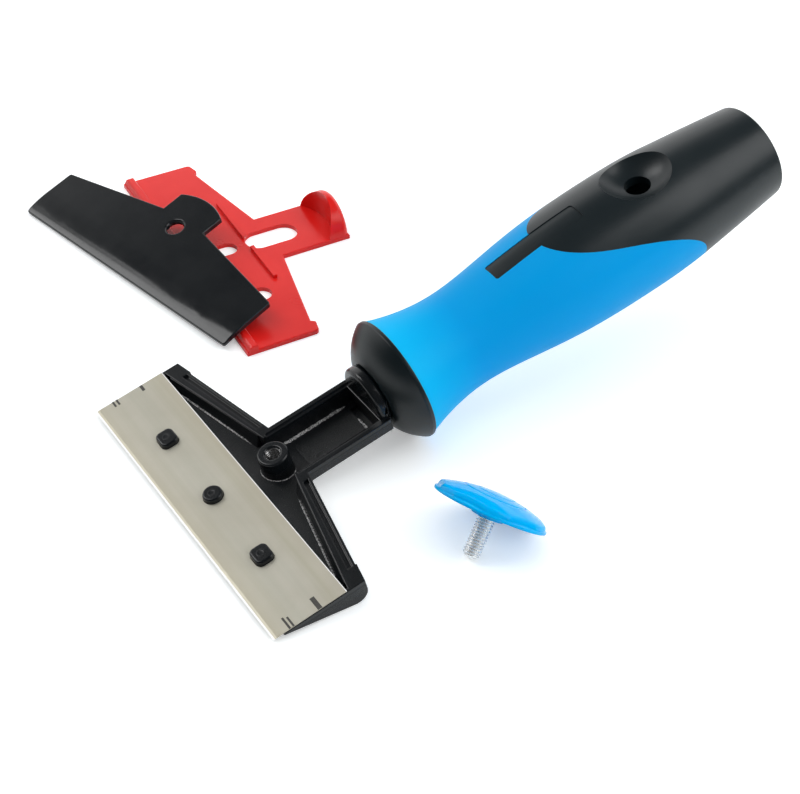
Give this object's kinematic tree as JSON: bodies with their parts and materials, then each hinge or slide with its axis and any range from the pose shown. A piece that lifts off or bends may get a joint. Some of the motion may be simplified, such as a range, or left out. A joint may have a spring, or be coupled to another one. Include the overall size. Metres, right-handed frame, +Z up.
{
  "type": "ceramic hob scraper",
  "caption": "Hand scraper for glass and ceramic hobs, laid out with its blade changer taken apart: head with blade, slide guard, clamp plate and thumb screw.",
  "frame": {"origin": "middle of the laid-out set's bounding box, on the table it rests on", "axes": "+X runs from the cutting edge to the handle's end, +Y runs across the blade towards the laid-off guard, +Z is up"},
  "size_m": [0.1942, 0.2212, 0.0618],
  "materials": {
    "black_casting": "gloss black paint",
    "blade_steel": "ground steel",
    "red_plastic": "satin gloss",
    "blue_plastic": "gloss",
    "zinc_steel": "zinc plated",
    "black_plastic": "satin",
    "blue_grip": "soft satin"
  },
  "bodies": {
    "tool": {"head_casting": "black_casting", "handle_core": "black_plastic", "grip_sleeve": "blue_grip"},
    "blade": {"scraper_blade": "blade_steel"},
    "guard": {"blade_guard": "red_plastic"},
    "clamp": {"clamp_plate": "black_casting"},
    "screw": {"screw_knob": "blue_plastic", "screw_stud": "zinc_steel"}
  },
  "joints": [
    {"name": "blade_lift", "type": "slide", "parent": "tool", "child": "blade", "axis": [-0.225, 0, 0.9744], "range_m": [0, 0.012]},
    {"name": "guard_slide", "type": "slide", "parent": "tool", "child": "guard", "axis": [0.9962, -0.0872, 0], "range_m": [0, 0.005]},
    {"name": "clamp_lift", "type": "slide", "parent": "guard", "child": "clamp", "axis": [0, 0, 1], "range_m": [0, 0.03]},
    {"name": "screw_turn", "type": "hinge", "parent": "tool", "child": "screw", "pos_m": [-0.03645, -0.09703, 0.00602], "axis": [0.6306, 0.2471, 0.7357], "continuous": true}
  ]
}
